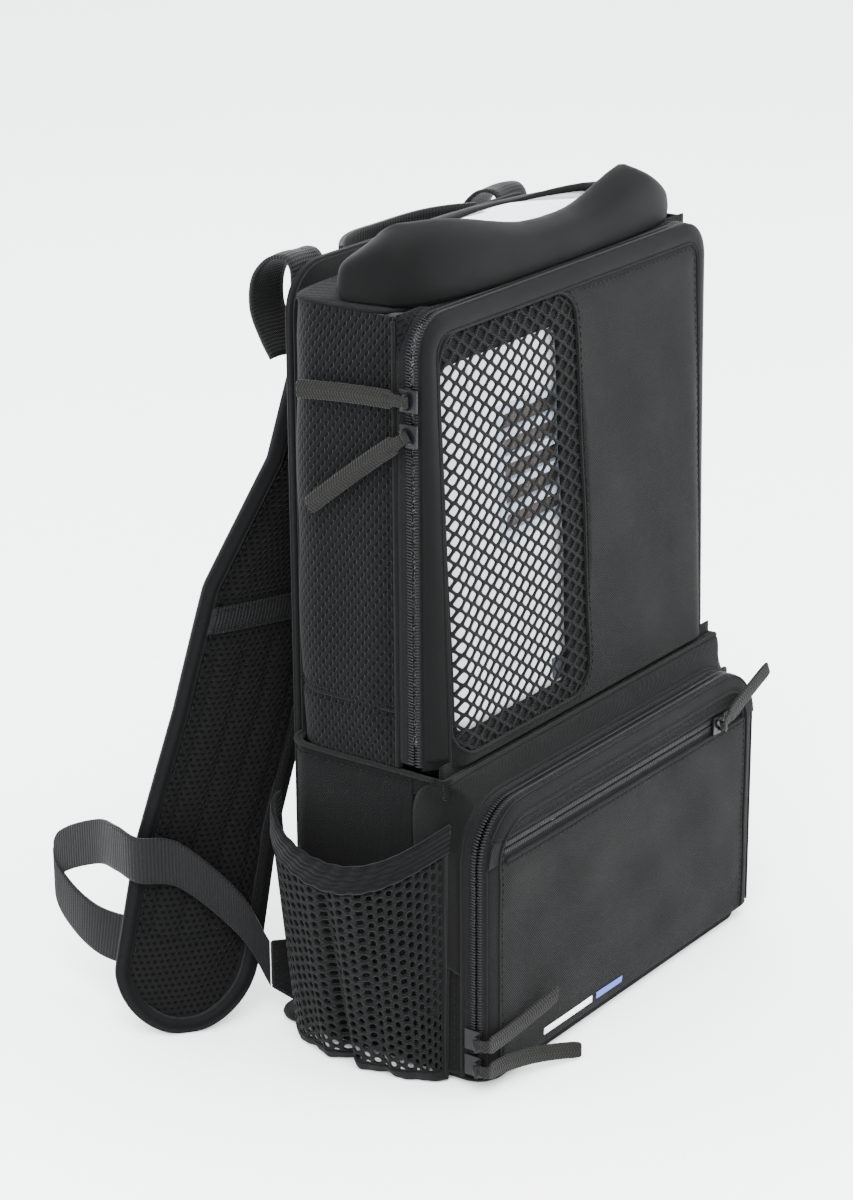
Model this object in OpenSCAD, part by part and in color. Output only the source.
// Portable oxygen concentrator in its backpack carrying case.
// Millimetres. X runs left to right seen from the front, +Y towards the
// wearer's back, +Z up. The origin is the centre of the case's underside.

/* [Carrying case] */
// Width between the two legs of the main zip, chain centre to chain centre
zip_span = 250.4; // [248:0.2:253]
// Height of the waist seam that the front flap swings on
waist_z = 160; // [158:1:162]
// Height of the top run of the main zip
zip_top_z = 386; // [382:1:390]
// Lean of the concentrator and of the front flap, bottom forward
lean = 3; // [2.5:0.1:3.5]
// Thickness of the padded back panel
back_pad = 14; // [12:1:16]
// Highest point of the moulded cap
cap_top_z = 427; // [424:1:430]

/* [Lower compartment] */
// Height of the arched zip of the lower compartment
arch_top_z = 148; // [147:0.5:148.5]
// Corner radius of the arched zip
arch_r = 30; // [24:1:34]
// Height of the small pocket's zip on the lower panel
small_zip_z = 126; // [118:1:128]

/* [Mesh side pockets] */
// How far a side pocket stands out from the case
pocket_bulge = 30; // [22:1:32]
// Height of the side pocket's mesh
pocket_h = 104; // [90:1:108]

/* [Shoulder straps] */
// Width of a padded shoulder strap
strap_w = 72; // [64:1:74]
// Thickness of a padded shoulder strap
strap_t = 12; // [8:1:13]
// Width of the webbing
webbing_w = 25; // [22:1:26]

/* [Zips] */
// Thickness of the coil chain
chain_t = 2.2; // [2:0.1:2.4]
// Length of a textile zip pull
pull_len = 62; // [50:1:64]
// Width of a textile zip pull
pull_w = 9; // [8:0.5:9.5]

/* [Concentrator] */
// Width of the concentrator
unit_w = 222; // [220:1:224]
// Depth of the concentrator
unit_d = 74; // [73:0.5:75]
// Corner radius of the concentrator's plan
unit_r = 20; // [16:1:24]
// Wall thickness of its casings
wall = 2.5; // [2:0.1:2.6]
// Radius of the oxygen outlet nozzle
nozzle_r = 2.4; // [2:0.1:2.6]

/* [Hidden] */
$fn = 48;
hull_fn = 24;

// Case planes
half_zip = zip_span / 2;
case_half = 126;
wall_t = 3;
zip_y = -33;
case_back_y = 45;
back_out_y = case_back_y + 1 + back_pad;
main_corner_r = 14;
base_t = 4;
arch_zip_y = -69;

// Zip rows: two strips with a slit between them for the slider's wedge
row_w = 3;
slit = 1.2;
tape_t = 0.8;
plate_t = 1.4;
plate_gap = 4;
plate_w = 9.6;
slider_len = 11;
bar_r = 0.8;
bar_x = 6;
eye_clear = 0.07;
post_t = 1.2;
pull_thick = 1.4;
arch_bail_y = -4;

// Flap
flap_t = 2.2;
flap_z0 = 163;
flap_y0 = -49.4;
flap_h = zip_top_z + 0.6 - flap_z0;
window_x0 = -112;
window_x1 = -18;
window_z0 = 9;
window_z1 = 214;
net_t = 0.9;

// Zip stations
main_upper_z = 348;
main_lower_z = 331;
arch_upper_z = 28;
arch_lower_z = 14;
small_slider_x = 85;
small_zip_half = 112;
small_pull_tilt = 115;
main_lower_tilt = -35;
panel_t = 2;
panel_z0 = 6.5;
panel_face_y = -76.2;
small_zip_y = panel_face_y + 1.1;

// Concentrator, in its own frame: x and y centred, z from its underside
unit_z = 166;
unit_y = -9;
batt_h = 30;
shell_z0 = batt_h + 0.5;
shell_z1 = 196;
cover_z0 = shell_z1 + 0.5;
cover_z1 = 209;
deck_z = 207;
nozzle_x = -55;
nozzle_y = -2;
nozzle_len = 15;
column_x = -88;
column_r = 15;
pump_axis_x = 52;
pump_axis_z = 87;
piston_y = 5;
piston_r = 14;
fan_x = -34;
fan_z = 128;
button_gap = 0.3;

grille_x0 = -64;
grille_x1 = -4;
grille_z0 = 94;
grille_z1 = 162;

// Buttons on the deck: [x, y, radius]
power_spot = [80, 0, 6.5];
up_spot = [-4, 9, 4.5];
down_spot = [-4, -9, 4.5];
alert_spot = [60, 0, 4.5];

// Left strap stations: [x, y, z, turn about Z]; the right one is mirrored
strap_path = [
    [-52, 67, 364, 0],
    [-50, 67, 335, -2],
    [-57, 73, 290, -8],
    [-84, 89, 225, -20],
    [-98, 96, 160, -30],
    [-122, 103, 90, -36],
    [-150, 95, 30, -40]
];
strap_tip = [-161, 87, 5, -40];
strap_tip_w = 40;

// Left webbing stations, from the corner tab round the loop to the buckle:
// [x, y, z, share of the buckle's tilt]
webbing_path = [
    [-122.9, 60.9, 30, 0],
    [-132, 74, 58, 0],
    [-147, 100, 84, 0],
    [-162, 116, 88, 0],
    [-159, 132, 90, 0],
    [-152, 152, 86, 0],
    [-151, 183, 70, 0],
    [-152, 180, 50, 0],
    [-156, 150, 38, 0.5],
    [-152.2, 112.4, 36.2, 1]
];
webbing_t = 1.6;

// Left buckle: centre, and turns that lay it on the strap's back
buckle_at = [-141.1, 103.1, 32.3];
buckle_tilt = [-21, 15, -40];
buckle_size = [28, 5, 34];
buckle_slot = [4, 10, 27];
buckle_slot_x = 6;

// Left corner tab: foot, turn about Z and length
tab_at = [-112.5, 46.3, 0];
tab_turn = 36;
tab_len = 17;
tab_t = 2;
tab_low = 6;
tab_high = 44;

// ---------------------------------------------------------------- helpers

// Rounded rectangle in the XY plane, centred
module round_rect(w, d, r) {
    square([w - 2 * r, d], center = true);
    square([w, d - 2 * r], center = true);
    for (sx = [-1, 1], sy = [-1, 1])
        translate([sx * (w / 2 - r), sy * (d / 2 - r)])
            circle(r);
}

// Arch outline: straight legs, rounded top corners
module arch(hw, z0, z1, r) {
    translate([-hw, z0])
        square([2 * hw, z1 - z0 - r]);
    translate([-hw + r, z0])
        square([2 * (hw - r), z1 - z0]);
    for (s = [-1, 1])
        translate([s * (hw - r), z1 - r])
            circle(r);
}

// Band of the given thickness that follows the arch outline
module arch_band(hw, z0, z1, r, t) {
    difference() {
        arch(hw + t / 2, z0, z1 + t / 2, r + t / 2);
        arch(hw - t / 2, z0 - 1, z1 - t / 2, r - t / 2);
    }
}

// Extrudes an outline drawn in X and Z between two Y planes
module along_y(y0, y1) {
    translate([0, y1, 0])
        rotate([90, 0, 0])
            linear_extrude(y1 - y0)
                children();
}

// Extrudes an outline drawn in Y and Z between two X planes
module along_x(x0, x1) {
    translate([x0, 0, 0])
        rotate([90, 0, 90])
            linear_extrude(x1 - x0)
                children();
}

module box(x0, x1, y0, y1, z0, z1) {
    translate([x0, y0, z0])
        cube([x1 - x0, y1 - y0, z1 - z0]);
}

module both_sides() {
    children();
    mirror([1, 0, 0])
        children();
}

// Rod of radius r along Y
module rod_y(x, z, r, y0, y1) {
    translate([x, y1, z])
        rotate([90, 0, 0])
            cylinder(r = r, h = y1 - y0);
}

// Rod of radius r along X
module rod_x(y, z, r, x0, x1) {
    translate([x0, y, z])
        rotate([0, 90, 0])
            cylinder(r = r, h = x1 - x0);
}

// Places the concentrator's own frame in the case
module in_unit() {
    translate([0, unit_y, unit_z])
        rotate([-lean, 0, 0])
            children();
}

// Places the flap's own frame: x, thickness from 0 to flap_t, z upwards
module in_flap() {
    translate([0, flap_y0, flap_z0])
        rotate([-lean, 0, 0])
            translate([0, -flap_t, 0])
                children();
}

// ------------------------------------------------------------- case shell

module base_panel() {
    color([0.10, 0.10, 0.10])
        translate([0, (back_out_y - 72) / 2, 0])
            linear_extrude(base_t)
                round_rect(2 * (case_half - 4), back_out_y + 72, 12);
}

module back_panel() {
    color([0.12, 0.12, 0.12])
        along_y(case_back_y + 1, back_out_y)
            translate([0, (base_t + 0.5 + 395) / 2])
                round_rect(216, 395 - base_t - 0.5, 24);
}

// Mesh side of the upper compartment, turning in towards the back panel
module side_panels() {
    turn_r = 24;
    color([0.11, 0.11, 0.11])
        both_sides()
            translate([0, 0, waist_z + 0.5])
                linear_extrude(zip_top_z - waist_z - 0.5)
                    wall_plan(-24, turn_r);
}

// Plan of a side wall: straight, then a quarter turn of radius r at the back
module wall_plan(y0, r) {
    translate([-case_half, y0])
        square([wall_t, case_back_y - r - y0]);
    translate([-case_half + r, case_back_y - r])
        difference() {
            circle(r);
            circle(r - wall_t);
            translate([-r - 1, -2 * r - 1])
                square([2 * r + 2, 2 * r + 1]);
            translate([0, -r])
                square([r + 1, 2 * r + 1]);
        }
}

// Woven sides of the lower compartment and the strip under the waist seam
module lower_shell() {
    color([0.09, 0.09, 0.09]) {
        both_sides()
            translate([0, 0, base_t])
                linear_extrude(waist_z - base_t)
                    wall_plan(-32, 12);
        box(-125.4, 125.4, flap_y0 - flap_t, flap_y0 + 1.5, 150, waist_z);
    }
}

// Padded shelf that the concentrator stands on
module divider_shelf() {
    half = case_half - wall_t - 0.5;
    color([0.14, 0.14, 0.14])
        box(-half, half, flap_y0 + 2, case_back_y - 20, 155, 163.8);
}

// Gusset that carries the lower compartment forward of the case
module pocket_gusset() {
    color([0.09, 0.09, 0.09])
        along_y(arch_zip_y + 8, -32.2)
            arch_band(case_half - wall_t / 2, base_t + 0.5, arch_top_z - 0.4,
                      arch_r, wall_t);
}

module cap_blank(inset) {
    half = 82;
    hull() {
        translate([0, 0, 387.6 - inset])
            linear_extrude(8)
                for (s = [-1, 1])
                    translate([s * half, 7])
                        circle(38 - inset, $fn = hull_fn);
        for (s = [-1, 1]) {
            translate([s * (half + 11), -9, cap_top_z - 16])
                sphere(16 - inset, $fn = hull_fn);
            translate([s * (half + 2), 28, 394.5])
                sphere(10 - inset, $fn = hull_fn);
        }
    }
}

// Moulded cap over the controls, with an oval opening
module cap() {
    dip_r = 400;
    dip_z = 412;
    color([0.08, 0.085, 0.085])
        difference() {
            cap_blank(0);
            cap_blank(4);
            box(-130, 130, -60, 80, 370, 387.6);
            rod_y(0, dip_z + dip_r, dip_r, -60, 80);
            translate([0, 8, 380])
                linear_extrude(60)
                    scale([80 / 24, 1])
                        circle(24, $fn = hull_fn);
        }
}

// Clear film over the controls, sloping back between the cap's rims
module top_window() {
    color([0.85, 0.88, 0.9, 0.35])
        difference() {
            in_window()
                linear_extrude(0.8)
                    scale([79 / 24, 1])
                        circle(24, $fn = 40);
            in_grommet()
                translate([0, 0, -10])
                    cylinder(r = 9.6, h = 20);
        }
}

module in_window() {
    translate([0, 8, 404.5])
        rotate([-12, 0, 0])
            children();
}

// On the nozzle's axis, where it meets the film
module in_grommet() {
    in_unit()
        translate([nozzle_x, nozzle_y, 240.2])
            children();
}

module tube_grommet() {
    color([0.05, 0.05, 0.05])
        in_grommet()
            translate([0, 0, -2.5])
                difference() {
                    cylinder(r = 9.5, h = 5);
                    translate([0, 0, -1])
                        cylinder(r = 7.5, h = 7);
                }
}

// ------------------------------------------------------------------- zips

// Rows and tape on one side of an arched zip; side is +1 towards the wearer
module arched_row(hw, z0, z1, r, y, side, tape_to) {
    row0 = y + side * slit / 2;
    row1 = row0 + side * row_w;
    along_y(min(row0, row1), max(row0, row1))
        arch_band(hw, z0, z1, r, chain_t);
    along_y(min(row1, tape_to), max(row1, tape_to))
        arch_band(hw, z0, z1, r, tape_t);
}

module main_zip_tape() {
    color([0.16, 0.16, 0.16])
        arched_row(half_zip, waist_z + 4, zip_top_z, main_corner_r, zip_y, 1,
                   -24.2);
}

module arch_zip_tape() {
    color([0.16, 0.16, 0.16])
        arched_row(half_zip, 8, arch_top_z, arch_r, arch_zip_y, 1,
                   arch_zip_y + 7.8);
}

module panel_zip_tape() {
    color([0.16, 0.16, 0.16])
        arched_row(half_zip, 8, arch_top_z, arch_r, arch_zip_y, -1,
                   panel_face_y + panel_t);
}

// The flap's row is straight; its tape widens to meet the leaning flap
module flap_zip_tape() {
    row1 = zip_y - slit / 2 - row_w;
    color([0.16, 0.16, 0.16]) {
        along_y(row1, zip_y - slit / 2)
            arch_band(half_zip, waist_z + 4, zip_top_z, main_corner_r, chain_t);
        difference() {
            along_y(flap_y0, row1)
                arch_band(half_zip, waist_z + 4, zip_top_z, main_corner_r,
                          tape_t);
            in_flap()
                box(-140, 140, -20, flap_t, -10, flap_h + 20);
        }
    }
}

// Slider: chain along Z, outward along +X, tapes in the YZ plane
module slider(bail_y, bail_turn) {
    color([0.10, 0.10, 0.11]) {
        for (s = [-1, 1])
            translate([s * (plate_gap + plate_t) / 2, 0, 0])
                cube([plate_t, plate_w, slider_len], center = true);
        translate([0, 0, 2.5])
            cube([plate_gap + 0.2, 0.8, 3], center = true);
        translate([0, bail_y, 0])
            rotate([bail_turn, 0, 0]) {
                for (s = [-1, 1])
                    translate([(plate_gap / 2 + plate_t + bar_x + bar_r) / 2,
                               0, s * 3.6])
                        cube([bar_x + bar_r - plate_gap / 2 - plate_t, 2 * bar_r,
                              post_t], center = true);
                translate([bar_x, 0, -3.2])
                    cylinder(r = bar_r, h = 6.4);
            }
    }
}

// Eye of a pull, round the slider's bar
module pull_eye(reach) {
    difference() {
        union() {
            cylinder(r = 1.7, h = 5.4, center = true);
            translate([0, reach / 2, 0])
                cube([pull_thick, abs(reach), 5.4], center = true);
        }
        cylinder(r = bar_r + eye_clear, h = 7, center = true);
    }
}
// Straight folded tape, lying along +Y from the bar
module pull_straight(len) {
    color([0.13, 0.13, 0.12]) {
        pull_eye(3.5);
        translate([0, 3 + (len - 3) / 2, 0])
            cube([pull_thick, len - 3, pull_w], center = true);
    }
}

// Folded tape that turns the case's front corner
module pull_cornered(len) {
    drop = 6.5;
    color([0.13, 0.13, 0.12]) {
        pull_eye(-3.5);
        translate([0, -3 - (drop - 3) / 2, 0])
            cube([pull_thick, drop - 3, pull_w], center = true);
        translate([pull_thick / 2 - len / 2, -drop, 0])
            cube([len, pull_thick, pull_w], center = true);
    }
}

// Left leg of a zip, mirrored so that +X points out of the case
module on_left_leg(y, z) {
    translate([-half_zip, y, z])
        mirror([1, 0, 0])
            children();
}

module on_small_zip() {
    translate([small_slider_x, small_zip_y, small_zip_z])
        rotate([-90, 0, 0])
            rotate([0, 90, 0])
                children();
}

module main_upper_slider() on_left_leg(zip_y, main_upper_z) slider(0, 0);
module main_lower_slider() on_left_leg(zip_y, main_lower_z)
    slider(0, main_lower_tilt);
module arch_upper_slider() on_left_leg(arch_zip_y, arch_upper_z)
    slider(arch_bail_y, 0);
module arch_lower_slider() on_left_leg(arch_zip_y, arch_lower_z)
    slider(arch_bail_y, 0);
module small_pocket_slider() on_small_zip() slider(0, small_pull_tilt);

module main_upper_pull() on_left_leg(zip_y, main_upper_z)
    translate([bar_x, 0, 0]) pull_straight(pull_len);
module main_lower_pull() on_left_leg(zip_y, main_lower_z)
    translate([bar_x, 0, 0]) rotate([main_lower_tilt, 0, 0])
        pull_straight(pull_len + 6);
module arch_upper_pull() on_left_leg(arch_zip_y + arch_bail_y, arch_upper_z)
    translate([bar_x, 0, 0]) pull_cornered(pull_len - 8);
module arch_lower_pull() on_left_leg(arch_zip_y + arch_bail_y, arch_lower_z)
    translate([bar_x, 0, 0]) pull_cornered(pull_len);
module small_pocket_pull() on_small_zip()
    translate([bar_x, 0, 0]) rotate([small_pull_tilt, 0, 0])
        pull_straight(pull_len - 16);

// ------------------------------------------------------------- front flap

module window_outline(grow) {
    w = window_x1 - window_x0 + 2 * grow;
    h = window_z1 - window_z0 + 2 * grow;
    translate([(window_x0 + window_x1) / 2, (window_z0 + window_z1) / 2])
        round_rect(w, h, 16 + grow);
}

module front_flap() {
    color([0.10, 0.10, 0.10])
        in_flap()
            along_y(0, flap_t)
                difference() {
                    arch(half_zip + tape_t / 2, 0, flap_h, main_corner_r);
                    window_outline(0);
                }
}

module window_mesh() {
    color([0.13, 0.13, 0.13])
        in_flap()
            along_y(0.6, 0.6 + net_t)
                window_outline(-0.1);
}

// ------------------------------------------------------ lower front panel

module pocket_panel() {
    slot_h = 2 * row_w + slit + 5;
    color([0.10, 0.10, 0.10])
        along_y(panel_face_y, panel_face_y + panel_t)
            difference() {
                arch(half_zip + tape_t / 2, panel_z0, arch_top_z + tape_t / 2,
                     arch_r);
                translate([-small_zip_half, small_zip_z - slot_h / 2])
                    square([2 * small_zip_half, slot_h]);
            }
}

module small_pocket_zip() {
    reach = row_w + slit / 2;
    color([0.16, 0.16, 0.16])
        for (s = [-1, 1]) {
            box(-small_zip_half, small_zip_half,
                small_zip_y - chain_t / 2, small_zip_y + chain_t / 2,
                small_zip_z + min(s * slit / 2, s * reach),
                small_zip_z + max(s * slit / 2, s * reach));
            box(-small_zip_half, small_zip_half,
                small_zip_y - tape_t / 2, small_zip_y + tape_t / 2,
                small_zip_z + min(s * reach, s * (reach + 2.5)),
                small_zip_z + max(s * reach, s * (reach + 2.5)));
        }
}

// ----------------------------------------------------------- side pockets

module half_oval(bulge, half_len, y) {
    translate([0, y])
        intersection() {
            scale([bulge / half_len, 1])
                circle(half_len, $fn = hull_fn);
            translate([-bulge - 1, -half_len - 1])
                square([bulge + 1, 2 * half_len + 2]);
        }
}

module pocket_blank(inset, z0, z1) {
    translate([-case_half - 0.6, 0, 0])
        hull() {
            translate([0, 0, z1])
                linear_extrude(0.5)
                    half_oval(pocket_bulge - inset, 52 - inset, -2);
            translate([0, 0, z0])
                linear_extrude(0.5)
                    half_oval(pocket_bulge / 2 - inset, 46 - inset, -6);
        }
}

module left_side_pocket() {
    color([0.13, 0.13, 0.13])
        difference() {
            pocket_blank(0, 1, pocket_h - 0.5);
            pocket_blank(1.6, 3, pocket_h + 1);
        }
}

module right_side_pocket() mirror([1, 0, 0]) left_side_pocket();

module pocket_bindings() {
    color([0.08, 0.08, 0.08])
        both_sides()
            translate([-case_half - 0.6, 0, pocket_h])
                linear_extrude(12)
                    difference() {
                        half_oval(pocket_bulge + 0.4, 52.4, -2);
                        half_oval(pocket_bulge - 2, 50, -2);
                    }
}

// ------------------------------------------------------ carrying hardware

// Webbing loop on the back panel's top edge
module grab_handle() {
    half = 50;
    rise = 20;
    r = (half * half + rise * rise) / (2 * rise);
    color([0.07, 0.07, 0.07])
        translate([0, back_out_y + 0.3 + rise - r, 369.5])
            linear_extrude(22)
                difference() {
                    circle(r, $fn = 96);
                    circle(r - 2.2, $fn = 96);
                    translate([-r - 1, -r - 1])
                        square([2 * r + 2, 2 * r + 1 - rise]);
                }
}

module strap_slice(p, w) {
    translate([p.x, p.y, p.z])
        rotate([0, 0, p[3]])
            linear_extrude(2, center = true)
                hull()
                    for (s = [-1, 1])
                        translate([s * (w - strap_t) / 2, 0])
                            circle(strap_t / 2, $fn = 12);
}

module left_strap_pad() {
    last = len(strap_path) - 1;
    color([0.10, 0.10, 0.10]) {
        for (i = [0:last - 1])
            hull() {
                strap_slice(strap_path[i], strap_w);
                strap_slice(strap_path[i + 1], strap_w);
            }
        hull() {
            strap_slice(strap_path[last], strap_w);
            strap_slice(strap_tip, strap_tip_w);
        }
    }
}

module right_strap_pad() mirror([1, 0, 0]) left_strap_pad();

module strap_webbing() {
    color([0.11, 0.11, 0.11])
        both_sides()
            for (i = [0:len(webbing_path) - 2])
                hull() {
                    webbing_station(webbing_path[i]);
                    webbing_station(webbing_path[i + 1]);
                }
}

module webbing_station(p) {
    translate([p.x, p.y, p.z])
        rotate(p[3] * buckle_tilt)
            cube([webbing_t, webbing_t, webbing_w], center = true);
}

// Buckle on the back of each strap's lower end
module ladder_locks() {
    color([0.06, 0.06, 0.06])
        both_sides()
            translate(buckle_at)
                rotate(buckle_tilt)
                    difference() {
                        cube(buckle_size, center = true);
                        for (s = [-1, 1])
                            translate([s * buckle_slot_x, 0, 0])
                                cube(buckle_slot, center = true);
                    }
}

// Woven tabs that narrow to the webbing's width
module corner_tabs() {
    middle = 30;
    color([0.10, 0.10, 0.10])
        both_sides()
            translate(tab_at)
                rotate([0, 0, tab_turn])
                    along_x(-tab_t / 2, tab_t / 2)
                        polygon([[0, tab_low], [0, tab_high],
                                 [tab_len, middle + webbing_w / 2],
                                 [tab_len, middle - webbing_w / 2]]);
}

module lifter_loops() {
    r = 24;
    color([0.11, 0.11, 0.11])
        both_sides()
            along_x(-100, -100 + webbing_w)
                translate([60.5, 374])
                    difference() {
                        circle(r);
                        circle(r - 2);
                        translate([-r - 1, -r - 1])
                            square([r + 0.5, 2 * r + 2]);
                        translate([-r - 1, -r - 1])
                            square([2 * r + 2, r - 4]);
                    }
}

// ---------------------------------------------------- concentrator casing

module casing_ring(z0, z1) {
    translate([0, 0, z0])
        linear_extrude(z1 - z0)
            difference() {
                round_rect(unit_w, unit_d, unit_r);
                round_rect(unit_w - 2 * wall, unit_d - 2 * wall, unit_r - wall);
            }
}

module casing_floor(z0, z1) {
    translate([0, 0, z0])
        linear_extrude(z1 - z0)
            round_rect(unit_w - 2 * wall, unit_d - 2 * wall, unit_r - wall);
}

// Front half of the casing: side grip line, grille opening
module unit_front_shell() {
    color([0.88, 0.89, 0.90])
        in_unit()
            difference() {
                union() {
                    casing_ring(shell_z0, shell_z1);
                    casing_floor(shell_z0, shell_z0 + wall);
                }
                box(-120, 120, -0.2, 60, shell_z0 - 1, shell_z1 + 1);
                box(grille_x0 - 0.1, grille_x1 + 0.1, -40, -30,
                    grille_z0 - 0.1, grille_z1 + 0.1);
                grip_line(-88);
            }
}

// Shallow vertical groove with round ends
module grip_line(x) {
    along_y(-unit_d / 2 - 1, -unit_d / 2 + 1.2)
        translate([x, (62 + 188) / 2])
            round_rect(6, 126, 2.9);
}

module unit_rear_shell() {
    color([0.80, 0.81, 0.82])
        in_unit()
            difference() {
                union() {
                    casing_ring(shell_z0, shell_z1);
                    casing_floor(shell_z0, shell_z0 + wall);
                }
                box(-120, 120, -60, 0.2, shell_z0 - 1, shell_z1 + 1);
            }
}

module deck_outline() {
    translate([34, 0])
        round_rect(124, 44, 14);
}

module unit_top_cover() {
    color([0.78, 0.80, 0.82])
        in_unit()
            difference() {
                translate([0, 0, cover_z0])
                    linear_extrude(cover_z1 - cover_z0)
                        round_rect(unit_w, unit_d, unit_r);
                translate([0, 0, cover_z0 - 1])
                    linear_extrude(204 - cover_z0 + 1)
                        round_rect(unit_w - 2 * wall, unit_d - 2 * wall,
                                   unit_r - wall);
                translate([0, 0, deck_z])
                    linear_extrude(10)
                        deck_outline();
                for (b = [power_spot, up_spot, down_spot, alert_spot])
                    translate([b.x, b.y, 205])
                        cylinder(r = b[2] + button_gap, h = 10);
            }
}

module intake_grille() {
    slots = 5;
    pitch = 12.6;
    slot_h = 8.4;
    color([0.72, 0.75, 0.80])
        in_unit()
            difference() {
                box(grille_x0, grille_x1, -unit_d / 2 - 0.6, -unit_d / 2 + 3,
                    grille_z0, grille_z1);
                for (i = [0:slots - 1])
                    along_y(-50, -30)
                        translate([(grille_x0 + grille_x1) / 2,
                                   (grille_z0 + grille_z1) / 2
                                   + (i - (slots - 1) / 2) * pitch])
                            round_rect(50, slot_h, 2);
            }
}

module intake_filter() {
    color([0.22, 0.21, 0.20])
        in_unit()
            box(grille_x0 + 1, grille_x1 - 1, -33.8, -28, grille_z0 + 1,
                grille_z1 - 1);
}

// ----------------------------------------------------------- control deck

module control_panel() {
    color([0.10, 0.12, 0.14])
        in_unit()
            translate([0, 0, deck_z])
                difference() {
                    linear_extrude(2)
                        translate([34, 0])
                            round_rect(123.6, 43.6, 13.8);
                    for (b = [power_spot, up_spot, down_spot, alert_spot])
                        translate([b.x, b.y, -1])
                            cylinder(r = b[2] + button_gap, h = 10);
                    translate([29, 0, 1])
                        linear_extrude(5)
                            round_rect(40.4, 26.4, 3);
                }
}

module display_lens() {
    color([0.25, 0.32, 0.36, 0.6])
        in_unit()
            translate([29, 0, deck_z + 1])
                linear_extrude(1.2)
                    round_rect(40, 26, 3);
}

module deck_button(spot, tone) {
    color(tone)
        in_unit()
            translate([spot.x, spot.y, 205.9])
                cylinder(r = spot[2], h = 4.3);
}

module power_button() deck_button(power_spot, [0.20, 0.45, 0.25]);
module flow_up_button() deck_button(up_spot, [0.75, 0.77, 0.80]);
module flow_down_button() deck_button(down_spot, [0.75, 0.77, 0.80]);
module alert_button() deck_button(alert_spot, [0.70, 0.55, 0.25]);

// Nozzle that the cannula's tube pushes onto
module oxygen_nozzle() {
    color([0.70, 0.72, 0.74])
        in_unit()
            translate([nozzle_x, nozzle_y, cover_z1])
                difference() {
                    union() {
                        cylinder(r = 7, h = 2);
                        cylinder(r = nozzle_r, h = 2 + nozzle_len);
                    }
                    translate([0, 0, 2])
                        cylinder(r = 1.2, h = nozzle_len + 1);
                }
}

// ---------------------------------------------------------------- battery

module battery_pack() {
    color([0.84, 0.85, 0.86])
        in_unit()
            difference() {
                linear_extrude(batt_h)
                    round_rect(unit_w, unit_d, unit_r);
                box(-24, 24, -60, -unit_d / 2 + 3.4, 9.6, 22.4);
            }
}

module battery_latch() {
    color([0.35, 0.37, 0.40])
        in_unit() {
            box(-20, 8, -unit_d / 2 + 0.6, -unit_d / 2 + 3.1, 10, 22);
            for (i = [0:4])
                box(-15 + i * 4, -13 + i * 4, -unit_d / 2 - 0.1,
                    -unit_d / 2 + 0.6, 12, 20);
        }
}

// --------------------------------------------------------------- innards

module sieve_columns() {
    color([0.75, 0.76, 0.78])
        in_unit()
            for (y = [-17, 17])
                translate([column_x, y, 38]) {
                    cylinder(r = column_r, h = 148);
                    for (z = [0, 140])
                        translate([0, 0, z])
                            cylinder(r = column_r + 1, h = 8);
                }
}

module compressor_body() {
    color([0.62, 0.63, 0.65])
        in_unit()
            difference() {
                box(8, 96, -26, 22, 60, 114);
                rod_y(pump_axis_x, pump_axis_z, 20, -23, -11);
                rod_y(pump_axis_x, pump_axis_z, 4.06, -30, 0);
                rod_x(piston_y, pump_axis_z, piston_r + 0.06, 12, 92);
                box(34, 70, -9.5, 19, 70, 104);
            }
}

// Motor rotor, shaft, crank disc and crank pin
module compressor_rotor() {
    color([0.55, 0.45, 0.35])
        in_unit() {
            rod_y(pump_axis_x, pump_axis_z, 4, -27, -3);
            rod_y(pump_axis_x, pump_axis_z, 18.5, -21.5, -12.5);
            rod_y(pump_axis_x, pump_axis_z, 9, -7, 0.6);
            rod_y(pump_axis_x, pump_axis_z + 4, 3, 0.6, 9);
        }
}

// Two pistons on one yoke; the yoke's window clears the crank pin
module piston_yoke() {
    color([0.70, 0.70, 0.72])
        in_unit() {
            rod_x(piston_y, pump_axis_z, piston_r, 18, 30);
            rod_x(piston_y, pump_axis_z, piston_r, 74, 86);
            difference() {
                box(30, 74, 1.6, 8.4, 77, 97);
                box(pump_axis_x - 13, pump_axis_x + 13, 0, 12,
                    pump_axis_z - 8, pump_axis_z + 8);
            }
        }
}

module fan_frame() {
    color([0.08, 0.08, 0.08])
        in_unit()
            difference() {
                box(fan_x - 30, fan_x + 30, -24, -8, fan_z - 30, fan_z + 30);
                rod_y(fan_x, fan_z, 28, -21, -7);
                for (a = [0:45:179])
                    translate([fan_x, 0, fan_z])
                        rotate([0, a + 22.5, 0])
                            for (s = [-1, 1])
                                translate([s * 19, -22.5, 0])
                                    cube([14, 6, 5], center = true);
                rod_y(fan_x, fan_z, 2.06, -30, -7);
            }
}

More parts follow.
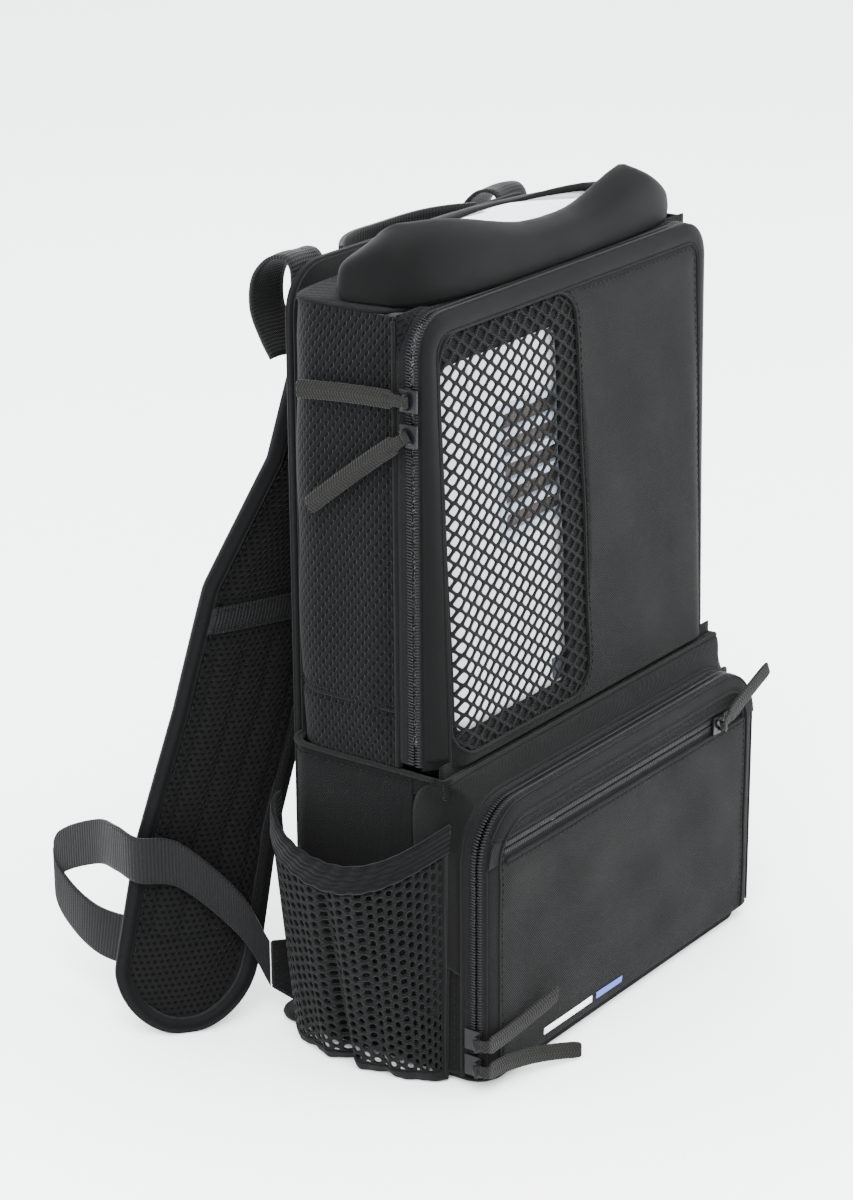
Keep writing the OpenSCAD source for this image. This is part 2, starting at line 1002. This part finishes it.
module cooling_fan() {
    blades = 7;
    color([0.12, 0.12, 0.13])
        in_unit()
            translate([fan_x, 0, fan_z]) {
                rod_y(0, 0, 2, -26, -9);
                rod_y(0, 0, 10, -20, -9);
                for (i = [0:blades - 1])
                    rotate([0, i * 360 / blades, 0])
                        translate([17, -14.5, 0])
                            rotate([28, 0, 0])
                                cube([18, 1.4, 11], center = true);
            }
}

module valve_manifold() {
    color([0.30, 0.34, 0.40])
        in_unit() {
            box(12, 84, -24, 8, 120, 136);
            for (x = [24:16:72])
                translate([x, -8, 136])
                    cylinder(r = 6, h = 20);
        }
}

module product_tank() {
    color([0.85, 0.86, 0.88])
        in_unit()
            difference() {
                rod_x(6, 174, 14, 10, 92);
                rod_x(6, 174, 12, 12, 90);
            }
}

module control_board() {
    color([0.10, 0.35, 0.20])
        in_unit() {
            box(-64, 98, 28, 29.6, 40, 186);
            box(-40, -22, 25, 28, 60, 78);
            box(-10, 4, 25.5, 28, 110, 124);
            for (x = [-50:14:-22])
                rod_y(x, 160, 5, 16, 28);
        }
}

// -------------------------------------------------------------- assembly

base_panel();
back_panel();
side_panels();
lower_shell();
divider_shelf();
pocket_gusset();
cap();
top_window();
tube_grommet();
main_zip_tape();
arch_zip_tape();
grab_handle();
left_strap_pad();
right_strap_pad();
strap_webbing();
ladder_locks();
corner_tabs();
lifter_loops();
left_side_pocket();
right_side_pocket();
pocket_bindings();
front_flap();
window_mesh();
flap_zip_tape();
pocket_panel();
panel_zip_tape();
small_pocket_zip();
main_upper_slider();
main_upper_pull();
main_lower_slider();
main_lower_pull();
arch_upper_slider();
arch_upper_pull();
arch_lower_slider();
arch_lower_pull();
small_pocket_slider();
small_pocket_pull();
unit_front_shell();
unit_rear_shell();
unit_top_cover();
intake_grille();
intake_filter();
control_panel();
display_lens();
power_button();
flow_up_button();
flow_down_button();
alert_button();
oxygen_nozzle();
battery_pack();
battery_latch();
sieve_columns();
compressor_body();
compressor_rotor();
piston_yoke();
cooling_fan();
fan_frame();
valve_manifold();
product_tank();
control_board();
